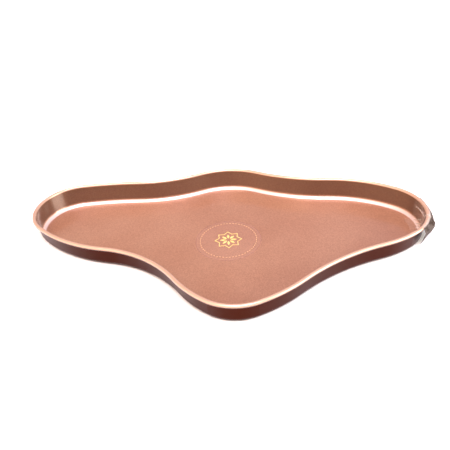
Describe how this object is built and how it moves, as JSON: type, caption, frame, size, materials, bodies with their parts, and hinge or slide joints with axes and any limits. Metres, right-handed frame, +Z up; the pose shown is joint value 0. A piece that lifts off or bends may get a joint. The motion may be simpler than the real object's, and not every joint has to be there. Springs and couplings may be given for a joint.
{
  "type": "lobed copper-coloured metal tray",
  "caption": "Shallow lobed serving tray pressed from copper-lacquered sheet, with a flat floor, a coved wall, a rolled rim and a round foil label.",
  "frame": {"origin": "on the resting plane, straight below the centre of the round label", "axes": "+Z up out of the tray, +X along its length towards the taped end"},
  "size_m": [0.4024, 0.226, 0.0244],
  "materials": {
    "shell_lacquer": "satin metallic copper lacquer on pressed steel",
    "rim_steel": "drawn wire",
    "label_clear": "clear gloss film",
    "label_foil": "bright gold foil",
    "tape_clear": "crinkled clear packing tape"
  },
  "bodies": {
    "root": {"tray_shell": "shell_lacquer", "rim_wire": "rim_steel", "label_film": "label_clear", "label_print": "label_foil", "tape_strip": "tape_clear"}
  },
  "joints": []
}
